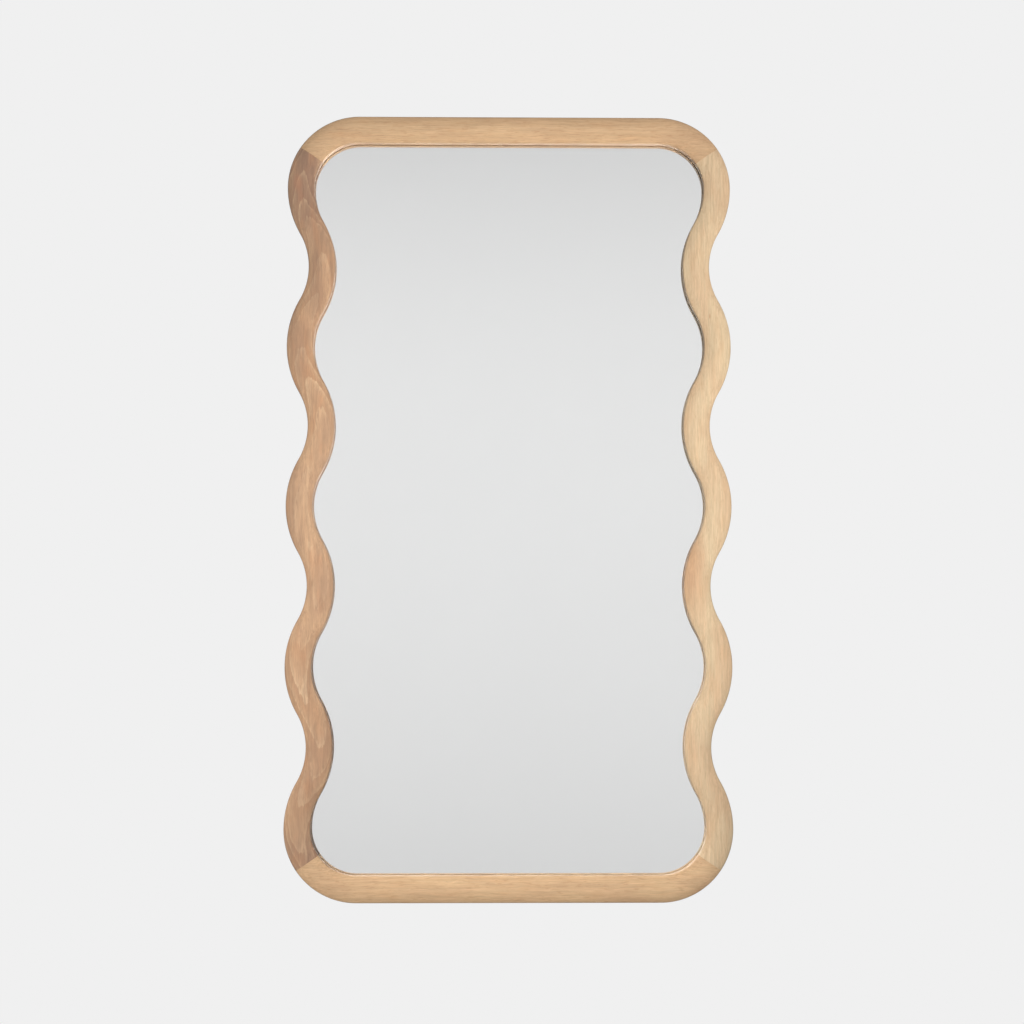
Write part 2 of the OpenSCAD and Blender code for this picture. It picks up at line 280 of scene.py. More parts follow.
def add_lathe(bm, profile, segments, centre=(0, 0, 0)):
    """A body turned about Z from points (radius, height). End points at radius 0 are poles."""
    rings = []
    for r, z in profile:
        around = circle_profile(r, segments) if r else [(0, 0)]
        rings.append([bm.verts.new((centre[0] + u, centre[1] + v, centre[2] + z))
                      for u, v in around])
    for a, b in zip(rings, rings[1:]):
        for i in range(segments):
            j = (i + 1) % segments
            if len(a) == 1:
                bm.faces.new((a[0], b[j], b[i]))
            elif len(b) == 1:
                bm.faces.new((a[i], a[j], b[0]))
            else:
                bm.faces.new((a[i], a[j], b[j], b[i]))


def add_mesh(bm, mesh):
    """Adds a mesh to the drawing, and gives its points there."""
    start = len(bm.verts)
    bm.from_mesh(mesh)
    bm.verts.ensure_lookup_table()
    return bm.verts[start:]


def drawn_mesh(name, bm):
    """The drawing as a mesh. The drawing itself is let go."""
    mesh = bpy.data.meshes.new(name)
    bm.to_mesh(mesh)
    bm.free()
    return mesh


def stood_mesh(name, bm, material):
    """The drawing as a mesh, stood up in the shared frame."""
    bmesh.ops.recalc_face_normals(bm, faces=bm.faces)
    bm.transform(STAND)
    mesh = drawn_mesh(name, bm)
    mesh.materials.append(material)
    return mesh


def placed(name, data):
    """A new object in the scene."""
    obj = bpy.data.objects.new(name, data)
    bpy.context.scene.collection.objects.link(obj)
    return obj


def finished_mesh(obj):
    """A copy of the object's shape with its modifiers or its curve's settings applied."""
    graph = bpy.context.evaluated_depsgraph_get()
    return bpy.data.meshes.new_from_object(obj.evaluated_get(graph))


def piece(name, bm, material, replaces, body="frame"):
    """Makes the drawing a piece that rides on its body."""
    mesh = stood_mesh(name, bm, material)
    for polygon in mesh.polygons:
        polygon.use_smooth = True
    mesh.set_sharp_from_angle(angle=math.radians(SHARP_ANGLE))
    obj = placed(name, mesh)
    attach(obj, body)
    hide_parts(*replaces)
    return obj


# ---- materials ----

def linear(r, g, b):
    """A colour of 0 to 255 on screen, as linear values."""
    def one(v):
        v /= 255
        return v / 12.92 if v <= 0.04045 else ((v + 0.055) / 1.055) ** 2.4
    return (one(r), one(g), one(b), 1.0)


def grey(level):
    """A grey of that linear level."""
    return (level, level, level, 1)


class Nodes:
    """Adds nodes to one node tree, and links inputs that are given as another node's output."""

    def __init__(self, tree):
        self.tree = tree
        tree.nodes.clear()

    def feed(self, socket, value):
        if isinstance(value, bpy.types.NodeSocket):
            self.tree.links.new(value, socket)
        else:
            socket.default_value = value

    def add(self, kind, inputs=(), **settings):
        node = self.tree.nodes.new(kind)
        for key, value in settings.items():
            setattr(node, key, value)
        for key, value in dict(inputs).items():
            self.feed(node.inputs[key], value)
        return node

    def math(self, operation, *values):
        return self.add("ShaderNodeMath", enumerate(values), operation=operation).outputs[0]

    def plus(self, a, b):
        return self.math("ADD", a, b)

    def minus(self, a, b):
        return self.math("SUBTRACT", a, b)

    def times(self, a, b):
        return self.math("MULTIPLY", a, b)

    def swing(self, noise, amount):
        """The noise about its middle, times an amount."""
        return self.times(self.minus(noise, 0.5), amount)

    def mix(self, factor, a, b, blend="MIX"):
        inputs = {0: factor, 6: a, 7: b}
        return self.add("ShaderNodeMix", inputs, data_type="RGBA", blend_type=blend).outputs[2]

    def remap(self, value, low, high, to_low=0.0, to_high=1.0, smooth=False):
        inputs = {0: value, 1: low, 2: high, 3: to_low, 4: to_high}
        kind = "SMOOTHSTEP" if smooth else "LINEAR"
        return self.add("ShaderNodeMapRange", inputs, interpolation_type=kind).outputs[0]

    def join(self, x, y, z):
        return self.add("ShaderNodeCombineXYZ", {0: x, 1: y, 2: z}).outputs[0]

    def split(self, vector):
        node = self.add("ShaderNodeSeparateXYZ", {0: vector})
        return node.outputs[0], node.outputs[1], node.outputs[2]

    def scaled(self, vector, factors):
        inputs = {0: vector, 1: factors}
        return self.add("ShaderNodeVectorMath", inputs, operation="MULTIPLY").outputs[0]

    def noise(self, vector, scale=1.0, detail=2.0, rough=0.5):
        """Soft noise of one scale, or of one for each direction."""
        if isinstance(scale, tuple):
            vector = self.scaled(vector, scale)
            scale = 1
        inputs = {"Vector": vector, "Scale": scale, "Detail": detail, "Roughness": rough}
        return self.add("ShaderNodeTexNoise", inputs).outputs[0]

    def ramp(self, value, stops):
        node = self.add("ShaderNodeValToRGB", {0: value})
        elements = node.color_ramp.elements
        elements.remove(elements[1])
        elements[0].position, level = stops[0]
        elements[0].color = grey(level)
        for position, level in stops[1:]:
            elements.new(position).color = grey(level)
        return node.outputs[0]

    def bump(self, height, strength, distance):
        inputs = {"Height": height, "Strength": strength, "Distance": distance}
        return self.add("ShaderNodeBump", inputs).outputs[0]

    def surface(self, **values):
        """The Principled shader. Names are its sockets' names, with _ for a space."""
        inputs = {key.replace("_", " "): value for key, value in values.items()}
        shader = self.add("ShaderNodeBsdfPrincipled", inputs)
        output = self.add("ShaderNodeOutputMaterial")
        self.tree.links.new(shader.outputs[0], output.inputs[0])

    def millimetres(self):
        place = self.add("ShaderNodeTexCoord").outputs["Object"]
        return self.scaled(place, (1 / MM, 1 / MM, 1 / MM))


def new_material(name):
    material = bpy.data.materials.new(name)
    material.use_nodes = True
    return material, Nodes(material.node_tree)


# How fine each noise of the oak is, per millimetre across, through and along the board
DRIFT = (1 / 45, 1 / 45, 1 / 150)
TEETH = (0.22, 0.22, 0.02)
BLOTCH = (1 / 24, 1 / 24, 1 / 90)
GLOW = (1 / 14, 1 / 14, 1 / 45)
SWAY = (1 / 20, 1 / 20, 1 / 45)
STREAK = (0.33, 0.33, 0.016)
FIBRE = (1.7, 1.7, 0.05)
PORE = (0.8, 0.8, 0.08)

# Years differ in width and in contrast
YEAR_DRIFT = 0.13
YEAR_SPREAD = 2
FAINTEST_YEAR = 0.45
# Around its crest a board can be calm, with year rings of little contrast
CALM_REACH = (100, 210)
CALM_LATE = 0.65
# The parts of a noise's range over which patches, glow, pores and fine grain come up
BLOTCH_RANGE = (0.36, 0.66)
GLOW_RANGE = (0.5, 0.75)
PORE_RANGE = (0.54, 0.66)
GRAIN_RANGE = (0.25, 0.75)
# How much of the stain at a board's ends the early and the late wood take
END_STAIN = (0.35, 1.25)
# Pores thin out over the early wood, up to this part of the year and down to this share
EARLY_END = 0.45
LATE_PORES = 0.35
MARK_CORE = 0.2
FIBRE_RELIEF = 0.4
OAK_BUMP = (0.35, 0.00012)
OAK_ROUGHNESS = (0.2, 0.8, 0.44, 0.56)


class Board:
    """One oak board's material.

    Year rings are level surfaces of a tilted, bowed stack of layers, so that they run true
    over the crown: arches where the layers lie flat, straight lines where they stand on edge.
    """

    def __init__(self, name, upright, look):
        self.material, self.n = new_material(name)
        self.look = look
        n = self.n
        x, y, z = n.split(n.millimetres())
        self.depth = n.times(y, -1)
        self.across, self.along = (x, z) if upright else (z, x)
        self.grain = n.join(self.across, self.depth, self.along)
        self.away = n.minus(self.along, look["crest"])
        self.from_crest = n.math("ABSOLUTE", self.away)

    def years(self):
        """A random share for each year, and how far through its year the wood is."""
        n, look = self.n, self.look
        warp = n.swing(n.noise(self.grain, DRIFT, 3), look["warp"])
        jag = n.swing(n.noise(self.grain, TEETH, 4, 0.6), look["jag"])
        tilt = math.radians(look["tilt"])
        layer = n.plus(n.times(self.depth, math.cos(tilt)), n.times(self.across, math.sin(tilt)))
        bend = n.math("SQRT", n.plus(n.times(self.away, self.away), look["round"] ** 2))
        layer = n.plus(n.minus(layer, n.times(bend, look["bow"])), n.plus(warp, jag))
        uneven = n.noise(n.join(layer, 0, 0), YEAR_DRIFT, 1)
        phase = n.plus(n.math("DIVIDE", layer, look["spacing"]), n.times(uneven, YEAR_SPREAD))
        year = n.add("ShaderNodeTexWhiteNoise", {"W": n.math("FLOOR", phase)},
                     noise_dimensions="1D").outputs[0]
        return year, n.math("FRACT", phase)

    def late_wood(self, year, season):
        """How much of the late wood's tone shows."""
        n, look = self.n, self.look
        early = n.minus(1.0, n.ramp(season, look["season"]))
        strength = n.remap(year, 0.0, 1.0, FAINTEST_YEAR, 1.0)
        late = n.minus(1.0, n.times(early, strength))
        contrast = n.remap(self.from_crest, *CALM_REACH, look["calm"], 1.0, True)
        return n.plus(n.times(n.minus(late, CALM_LATE), contrast), CALM_LATE)

    def stained(self, colour, late):
        """The colour with patches, and with darker ends."""
        n, look = self.n, self.look
        blotch = n.noise(self.grain, BLOTCH, 4, 0.55)
        patches = n.remap(blotch, *BLOTCH_RANGE, 0, look["blotch"], True)
        spread = n.remap(self.from_crest, *look["ends_reach"], 0, look["ends"], True)
        stain = n.plus(patches, n.times(spread, n.remap(late, 0, 1, *END_STAIN)))
        return n.mix(n.math("MINIMUM", stain, 1.0), colour, look["tint"])

    def mark(self, middle, height, half_width, half_length, strength):
        """How strongly a soft oval mark shows."""
        n = self.n
        u = n.math("DIVIDE", n.minus(self.across, middle), half_width)
        v = n.math("DIVIDE", n.minus(self.along, height), half_length)
        reach = n.math("SQRT", n.plus(n.times(u, u), n.times(v, v)))
        return n.remap(reach, MARK_CORE, 1.0, strength, 0, True)

    def warmed(self, colour):
        """The colour with its marks and a warm glow."""
        n, look = self.n, self.look
        for place in look["marks"]:
            colour = n.mix(self.mark(*place), colour, look["mark_tone"])
        glow = n.noise(self.grain, GLOW, 3, 0.5)
        return n.mix(n.remap(glow, *GLOW_RANGE, 0, look["glow"], True), colour, look["warm"])

    def grained(self, colour, season):
        """The colour with streaks, fibres and pores, and the noises of fibre and pores."""
        n, look = self.n, self.look
        swayed = n.plus(self.across, n.swing(n.noise(self.grain, SWAY, 2), look["sway"]))
        grain = n.join(swayed, self.depth, self.along)
        streak = n.noise(grain, STREAK, 5, 0.7)
        fibre = n.noise(grain, FIBRE, 3, 0.6)
        level = n.plus(n.remap(streak, *GRAIN_RANGE, -look["streak"], look["streak"]),
                       n.remap(fibre, *GRAIN_RANGE, 1 - look["fibre"], 1 + look["fibre"]))
        colour = n.mix(1.0, colour, n.join(level, level, level), "MULTIPLY")
        pores = n.remap(n.noise(grain, PORE, 2), *PORE_RANGE, 0, 1, True)
        pores = n.times(pores, n.remap(season, 0.0, EARLY_END, 1.0, LATE_PORES))
        colour = n.mix(n.times(pores, look["pores"]), colour, look["pore_tone"])
        return colour, fibre, pores


def oak(name, upright, look):
    """Solid oak: growth rings, patches, fibres, pores and a matt lacquer."""
    board = Board(name, upright, look)
    n = board.n
    year, season = board.years()
    late = board.late_wood(year, season)
    colour = board.stained(n.mix(late, look["light"], look["dark"]), late)
    colour, fibre, pores = board.grained(board.warmed(colour), season)
    relief = n.minus(n.times(fibre, FIBRE_RELIEF), pores)
    n.surface(Base_Color=colour, Roughness=n.remap(fibre, *OAK_ROUGHNESS),
              Normal=n.bump(relief, *OAK_BUMP), Coat_Weight=0.12, Coat_Roughness=0.4)
    return board.material


# The tone's course through a year, in flat-sawn and in quarter-sawn boards
FLAT_SEASON = ((0.0, 1.0), (0.02, 0.0), (0.1, 0.05), (0.2, 0.42), (0.5, 0.75), (0.85, 1.0))
EDGE_SEASON = ((0.0, 0.15), (0.35, 0.35), (0.85, 1.0), (1.0, 0.15))

# What each board looks like. Lengths are in millimetres, tilt is in degrees, and a mark is
# its middle's place across and along, its half width, its half length and its strength.
LEFT_LOOK = {
    "tilt": 3, "bow": 0.08, "round": 140, "crest": -40, "spacing": 3.6, "warp": 4.0, "jag": 1.8,
    "season": FLAT_SEASON, "light": linear(208, 176, 142), "dark": linear(179, 141, 109),
    "calm": 0.3, "tint": linear(140, 110, 91), "blotch": 0.4, "ends": 0.45,
    "ends_reach": (320, 500), "glow": 0.4, "warm": linear(180, 130, 94),
    "streak": 0.19, "fibre": 0.12, "sway": 8, "pores": 0.4, "pore_tone": linear(128, 92, 68),
    "marks": ((-290, 443, 9, 18, 0.4), (-286, 425, 6, 14, 0.25)),
    "mark_tone": linear(176, 120, 90),
}
RIGHT_LOOK = {
    "tilt": 78, "bow": 0.006, "round": 60, "crest": 120, "spacing": 1.9, "warp": 9.0, "jag": 1.8,
    "season": EDGE_SEASON, "light": linear(215, 192, 159), "dark": linear(202, 177, 142),
    "calm": 1.0, "tint": linear(196, 158, 124), "blotch": 0.45, "ends": 0.05,
    "ends_reach": (200, 600), "glow": 0.35, "warm": linear(198, 160, 122),
    "streak": 0.17, "fibre": 0.1, "sway": 7, "pores": 0.35, "pore_tone": linear(160, 122, 86),
    "marks": ((243, -80, 34, 95, 0.8), (275.5, 261, 1.6, 5, 0.9)),
    "mark_tone": linear(184, 145, 112),
}
TOP_LOOK = {
    "tilt": 62, "bow": 0.01, "round": 60, "crest": -60, "spacing": 1.8, "warp": 8.0, "jag": 1.8,
    "season": EDGE_SEASON, "light": linear(207, 174, 137), "dark": linear(193, 158, 120),
    "calm": 1.0, "tint": linear(184, 148, 115), "blotch": 0.4, "ends": 0.1,
    "ends_reach": (100, 300), "glow": 0.35, "warm": linear(190, 148, 108),
    "streak": 0.17, "fibre": 0.1, "sway": 9, "pores": 0.55, "pore_tone": linear(160, 113, 76),
    "marks": (),
}
BOTTOM_LOOK = {
    "tilt": 55, "bow": 0.01, "round": 60, "crest": 90, "spacing": 2.0, "warp": 8.0, "jag": 1.8,
    "season": EDGE_SEASON, "light": linear(213, 181, 143), "dark": linear(200, 165, 125),
    "calm": 1.0, "tint": linear(190, 152, 118), "blotch": 0.4, "ends": 0.1,
    "ends_reach": (100, 300), "glow": 0.35, "warm": linear(194, 152, 112),
    "streak": 0.17, "fibre": 0.1, "sway": 9, "pores": 0.55, "pore_tone": linear(163, 118, 80),
    "marks": (),
}


def clear_glass():
    material, n = new_material("clear_glass")
    cloud = n.noise(n.millimetres(), 0.01, 2)
    colour = n.mix(cloud, (0.976, 0.978, 0.977, 1), (0.982, 0.984, 0.983, 1))
    n.surface(Base_Color=colour, Roughness=0.0, IOR=1.52, Transmission_Weight=1.0)
    return material


def silver():
    material, n = new_material("silver")
    cloud = n.noise(n.millimetres(), 0.008, 2)
    n.surface(Base_Color=n.mix(cloud, grey(0.932), grey(0.944)), Metallic=1.0, Roughness=0.0)
    return material


def back_paint():
    """The grey paint over the silver's back."""
    material, n = new_material("back_paint")
    mottle = n.noise(n.millimetres(), 0.3, 4)
    colour = n.mix(mottle, linear(96, 104, 108), linear(116, 124, 128))
    n.surface(Base_Color=colour, Roughness=n.remap(mottle, 0.2, 0.8, 0.5, 0.7))
    return material


def hardboard():
    """Pressed brown fibre board with a smooth skin."""
    material, n = new_material("hardboard")
    place = n.millimetres()
    fluff = n.noise(place, (0.9, 0.9, 0.35), 5, 0.7)
    fleck = n.remap(n.noise(place, (0.5, 0.5, 1.4), 3), 0.6, 0.75, 0, 0.7, True)
    cloud = n.noise(place, 0.02, 3)
    colour = n.mix(n.remap(fluff, 0.3, 0.7), linear(124, 88, 58), linear(152, 114, 80))
    colour = n.mix(fleck, colour, linear(96, 66, 44))
    colour = n.mix(n.remap(cloud, 0.35, 0.65, 0, 0.35, True), colour, linear(164, 128, 92))
    n.surface(Base_Color=colour, Roughness=n.remap(fluff, 0.3, 0.7, 0.5, 0.68),
              Normal=n.bump(fluff, 0.3, 0.00015))
    return material


def beech():
    material, n = new_material("beech")
    place = n.millimetres()
    fibre = n.noise(place, (2.0, 2.0, 2.0), 4, 0.6)
    fleck = n.remap(n.noise(place, 1.2, 1), 0.6, 0.7, 0, 0.5, True)
    colour = n.mix(fibre, linear(214, 186, 146), linear(196, 164, 124))
    colour = n.mix(fleck, colour, linear(160, 122, 86))
    n.surface(Base_Color=colour, Roughness=0.6, Normal=n.bump(fibre, 0.3, 0.0002))
    return material


def rubber(name, dark, light, grain, roughness):
    """Rubber or foam: a dull skin with a fine grain."""
    material, n = new_material(name)
    place = n.millimetres()
    pebble = n.noise(place, grain, 4, 0.6)
    dust = n.noise(place, 0.12, 3)
    colour = n.mix(n.remap(dust, 0.3, 0.7), dark, light)
    n.surface(Base_Color=colour, Roughness=n.remap(pebble, 0.3, 0.7, roughness - 0.1, roughness),
              Normal=n.bump(pebble, 0.4, 0.0001))
    return material


def zinc(name, low, high):
    """Bright zinc plating: faint crystals, fine wear and a soft gloss."""
    material, n = new_material(name)
    place = n.millimetres()
    cells = n.add("ShaderNodeTexVoronoi", {"Vector": place, "Scale": 0.9}).outputs["Color"]
    spangle = n.split(cells)[0]
    wear = n.noise(place, 1.6, 5, 0.65)
    rough = n.plus(n.remap(wear, 0.3, 0.7, 0.24, 0.4), n.times(spangle, 0.05))
    n.surface(Base_Color=n.mix(n.remap(wear, 0.3, 0.7), low, high), Metallic=1.0,
              Roughness=rough, Normal=n.bump(wear, 0.15, 0.00005))
    return material


# ---- pieces ----

def joint_eased(stations, profile):
    """Stations and profiles of a member whose ends are eased, which draws the joint's line."""
    def between(a, b, amount):
        share = amount / math.dist(a[:2], b[:2])
        return tuple(p + (q - p) * share for p, q in zip(a, b))
    first = between(stations[0], stations[1], JOINT_EASE)
    final = between(stations[-1], stations[-2], JOINT_EASE)
    path = [stations[0], first, *stations[1:-1], final, stations[-1]]
    small = inset(profile, JOINT_EASE)
    return path, [small, *[profile] * (len(path) - 2), small]


def make_member(name, node, stations, material):
    bm = bmesh.new()
    add_sweep(bm, *joint_eased(stations, moulding_profile()))
    piece(name, bm, material, replaces=[node])


def make_frame():
    right, top = stile_path(), rail_path()
    make_member("oak_right_stile", "right_stile", right, oak("oak_right", True, RIGHT_LOOK))
    make_member("oak_left_stile", "left_stile", mirrored(right, -1),
                oak("oak_left", True, LEFT_LOOK))
    make_member("oak_top_rail", "top_rail", top, oak("oak_top", False, TOP_LOOK))
    make_member("oak_bottom_rail", "bottom_rail", mirrored(top, 1, -1),
                oak("oak_bottom", False, BOTTOM_LOOK))


def make_mirror():
    """A clear pane, with its silvering and the paint behind it as a thin sheet."""
    edge = offset_outline(GLASS_EDGE)
    bm = bmesh.new()
    add_slab(bm, edge, SILVER_Z + 2 * SILVER_T, GLASS_REBATE_Z)
    piece("mirror_pane", bm, clear_glass(), replaces=["mirror_glass"])
    bm = bmesh.new()
    add_slab(bm, edge, SILVER_Z, SILVER_Z + SILVER_T)
    sheet = piece("mirror_silvering", bm, silver(), replaces=["mirror_glass"])
    sheet.data.materials.append(back_paint())
    for polygon in sheet.data.polygons:
        faces_viewer = polygon.normal.y < -0.5
        polygon.material_index = 0 if faces_viewer else 1


# A screw's shape, as shares of its diameter or of its head's width and height
HEAD_ROUND = 0.7
THREAD_PITCH = 0.36
THREAD_ROOT = 0.8
SCREW_TIP = 0.7
CROSS_WING = 0.29
CROSS_THICK = 0.065
CROSS_SINK = 0.62
# The cross recess's taper: its width at its floor and at the cutter's upper end
CROSS_FLOOR = 0.45
CROSS_MOUTH = 1.12
# The head's eased edge, the thread's start and how far the cutter stands out, in millimetres
HEAD_EASE = 0.1
THREAD_START = 0.6
CUTTER_RISE = 0.5
HEAD_FACETS = 6
SCREW_SEGMENTS = 28
# Each screw stops at another angle
SCREW_TURN = 37


def screw_profile(d, length, head_d, head_h):
    """Half the section of a pan-head screw that points up."""
    round_r = head_h * HEAD_ROUND
    points = [(0, -head_h)]
    points += round_points(head_d / 2 - round_r, round_r - head_h, round_r, -90, 0, HEAD_FACETS)
    points += [(head_d / 2, -HEAD_EASE), (head_d / 2 - HEAD_EASE, 0), (d / 2, 0)]
    pitch = d * THREAD_PITCH
    z = THREAD_START
    while z + pitch < length - d:
        for share, rise in ((THREAD_ROOT, 0.25), (1, 0.5), (THREAD_ROOT, 0.75)):
            points.append((d / 2 * share, z + pitch * rise))
        z += pitch
    return points + [(d / 2 * SCREW_TIP, length - d), (0, length)]


def cross_cutter(head_d, head_h):
    """Two crossed wedges that cut the recess in a screw's head."""
    wing, thick = head_d * CROSS_WING, head_d * CROSS_THICK
    levels = ((-head_h - CUTTER_RISE, CROSS_MOUTH),
              (-head_h + head_h * CROSS_SINK, CROSS_FLOOR))
    bm = bmesh.new()
    for turn in (0, 90):
        base = Matrix.Rotation(math.radians(turn), 4, "Z")
        loops = []
        for z, share in levels:
            x, y = wing * share, thick * share
            corners = ((-x, -y, z), (x, -y, z), (x, y, z), (-x, y, z))
            loops.append([bm.verts.new(base @ Vector(corner)) for corner in corners])
        add_tube(bm, loops)
    return drawn_mesh("cross", bm)


def screw_mesh(d, length, head_d, head_h):
    """One screw, with a thread and a cross recess."""
    bm = bmesh.new()
    add_lathe(bm, screw_profile(d, length, head_d, head_h), SCREW_SEGMENTS)
    bmesh.ops.recalc_face_normals(bm, faces=bm.faces)
    return cut_mesh(drawn_mesh("screw", bm), cross_cutter(head_d, head_h))


def cut_mesh(body, cutter):
    """The body's mesh with the cutter's taken away."""
    objects = [placed(mesh.name, mesh) for mesh in (body, cutter)]
    cut = objects[0].modifiers.new("cut", "BOOLEAN")
    cut.operation = "DIFFERENCE"
    cut.solver = "EXACT"
    cut.use_self = True
    cut.object = objects[1]
    result = finished_mesh(objects[0])
    for obj in objects:
        bpy.data.objects.remove(obj)
    return result


def add_copies(bm, mesh, places):
    """Copies of a mesh, each turned by an angle of its own about Z."""
    for i, place in enumerate(places):
        turn = Matrix.Rotation(math.radians(SCREW_TURN * i), 4, "Z")
        matrix = Matrix.Translation(place) @ turn
        bmesh.ops.transform(bm, matrix=matrix, verts=add_mesh(bm, mesh))


def board_screw_places():
    stile_x = FRAME_W / 2 - HALF + LEDGE_MID
    places = []
    for s in (-1, 1):
        for k in range(0, LAST + 1, 2):
            places.append(Vector((s * stile_x, k * STEP - CORNER_Y, BOARD_INSET)))
        for sx in (-1, 1):
            places.append(Vector((sx * RAIL_SCREW_X, s * (RAIL_Y + LEDGE_MID), BOARD_INSET)))
    return places


def make_screws(steel):
    bm = bmesh.new()
    add_copies(bm, screw_mesh(**BOARD_SCREW), board_screw_places())
    piece("board_screws", bm, steel, replaces=["backing_screws"])
    bm = bmesh.new()
    places = [Vector((s * HANGER_X, HANGER_Y - d, -STRAP_T)) for s in (-1, 1)
              for d in STRAP_HOLES]
    add_copies(bm, screw_mesh(**HANGER_SCREW), places)
    piece("strap_screws", bm, steel, replaces=["hanger_screws"])


HOLE_EASE = 0.3
HOLE_SEGMENTS = 32
STRAP_END_FACETS = 24
CURL_START = 90
CURL_TURN = 300
CURL_STEPS = 48
WIRE_SEGMENTS = 24


def plate_curve(loops, thickness):
    """A flat curve, filled between its loops, that is as thick as the plate."""
    curve = bpy.data.curves.new("plate", "CURVE")
    curve.dimensions = "2D"
    curve.fill_mode = "BOTH"
    curve.extrude = thickness / 2 - PLATE_EASE
    curve.bevel_depth = PLATE_EASE
    curve.bevel_resolution = 1
    curve.offset = -PLATE_EASE
    for loop in loops:
        spline = curve.splines.new("POLY")
        spline.points.add(len(loop) - 1)
        for point, (x, y) in zip(spline.points, loop):
            point.co = (x, y, 0, 1)
        spline.use_cyclic_u = True
    return curve


def add_plate(bm, outline, holes, thickness):
    """A plate with eased edges under z = 0, from an outline and round holes."""
    loops = [outline]
    for centre, radius in holes:
        around = circle_profile(radius, HOLE_SEGMENTS)
        loops.append([(centre[0] + u, centre[1] + v) for u, v in around])
    obj = placed("plate", plate_curve(loops, thickness))
    points = add_mesh(bm, finished_mesh(obj))
    bpy.data.objects.remove(obj)
    bmesh.ops.translate(bm, vec=(0, 0, -thickness / 2), verts=points)
    bmesh.ops.remove_doubles(bm, verts=points, dist=0.001)


def add_curl(bm):
    """The curl of the strap's sheet round the wire, from the plate to a slit just below it."""
    w, e = STRAP_W / 2, PLATE_EASE
    inner, outer = EYE_R, EYE_R + STRAP_T
    section = [(-w, inner + e), (-w + e, inner), (w - e, inner), (w, inner + e),
               (w, outer - e), (w - e, outer), (-w + e, outer), (-w, outer - e)]
    loops = []
    for i in range(CURL_STEPS + 1):
        angle = math.radians(CURL_START - CURL_TURN * i / CURL_STEPS)
        c, s = math.cos(angle), math.sin(angle)
        loops.append([bm.verts.new((x, r * c, AXIS_Z + r * s)) for x, r in section])
    add_tube(bm, loops)


def make_strap(side, s, steel):
    """A strap of sheet: a plate with a round end, and a curl round the ring's wire."""
    centre_y = -STRAP_L + STRAP_W / 2
    end = round_points(0, centre_y, STRAP_W / 2, 180, 360, STRAP_END_FACETS)
    outline = [*end, (STRAP_W / 2, 0), (-STRAP_W / 2, 0)]
    holes = [((0, -d), HANGER_SCREW["d"] / 2 + HOLE_EASE) for d in STRAP_HOLES]
    bm = bmesh.new()
    add_plate(bm, outline, holes, STRAP_T)
    add_curl(bm)
    bmesh.ops.translate(bm, vec=(s * HANGER_X, HANGER_Y, 0), verts=bm.verts)
    piece(side + "_strap_sheet", bm, steel, replaces=[side + "_hanger_strap"])


def make_ring(side, s, steel):
    """The D ring: bar, two bends, two sides and a round end, of one bent wire."""
    half = RING_W / 2 + WIRE_R
    bar = half - RING_BEND
    low = -RING_BEND - (RING_L - half - RING_BEND)
    path = joined([
        arc((bar, -RING_BEND), RING_BEND, 90, 0),
        arc((0, low), half, 0, -180),
        arc((-bar, -RING_BEND), RING_BEND, 180, 90),
    ])
    bm = bmesh.new()
    add_sweep(bm, path, [circle_profile(WIRE_R, WIRE_SEGMENTS)] * len(path), cyclic=True)
    bmesh.ops.translate(bm, vec=(s * HANGER_X, HANGER_Y, AXIS_Z), verts=bm.verts)
    piece(side + "_d_ring", bm, steel, body=side + "_ring",
          replaces=[side + "_hanger_ring"])


# A bumper's foot and flat face, as shares of its height and radius
FOOT_SHARE = 0.3
FACE_SHARE = 0.6
# The foot's eased edge, then how far inside the face's edge its flat rim begins and ends and
# the dish's floor begins, in millimetres
FOOT_EASE = 0.2
RIM_INSET = (0.3, 1.0)
DISH_INSET = 1.2
DISH_DEPTH = 0.3
BUMPER_FACETS = 10
BUMPER_SEGMENTS = 48


def bumper_profile():
    """Half the section of a moulded bumper: foot, dome and a flat rim with a dish in it."""
    foot_r, foot_h = BUMPER_D / 2, BUMPER_T * FOOT_SHARE
    face_r = BUMPER_D / 2 * FACE_SHARE
    dome_h = BUMPER_T - foot_h
    spread = foot_r - face_r
    round_r = (dome_h ** 2 + spread ** 2) / (2 * spread)
    top = math.degrees(math.asin(dome_h / round_r))
    dome = round_points(foot_r - round_r, -foot_h, round_r, 0, -top, BUMPER_FACETS)
    rim = [(face_r - inward, -BUMPER_T) for inward in RIM_INSET]
    floor_z = -BUMPER_T + DISH_DEPTH
    return [(0, 0), (foot_r - FOOT_EASE, 0), (foot_r, -FOOT_EASE), *dome, *rim,
            (face_r - DISH_INSET, floor_z), (0, floor_z)]


def make_bumper(level, side, sx, sy, material):
    angle = math.radians(BUMPER_ANGLE)
    radius = TURN_R + LAND_MID
    x = sx * (CORNER_X + radius * math.cos(angle))
    y = sy * (CORNER_Y + radius * math.sin(angle))
    bm = bmesh.new()
    add_lathe(bm, bumper_profile(), BUMPER_SEGMENTS, (x, y, 0))
    piece(f"{level}_{side}_rubber_bumper", bm, material,
          replaces=[f"{level}_{side}_bumper"])


def dress_node(name, material):
    """Gives a carried-over node its material."""
    obj = frame["nodes"][name]
    obj.data.materials.clear()
    obj.data.materials.append(material)


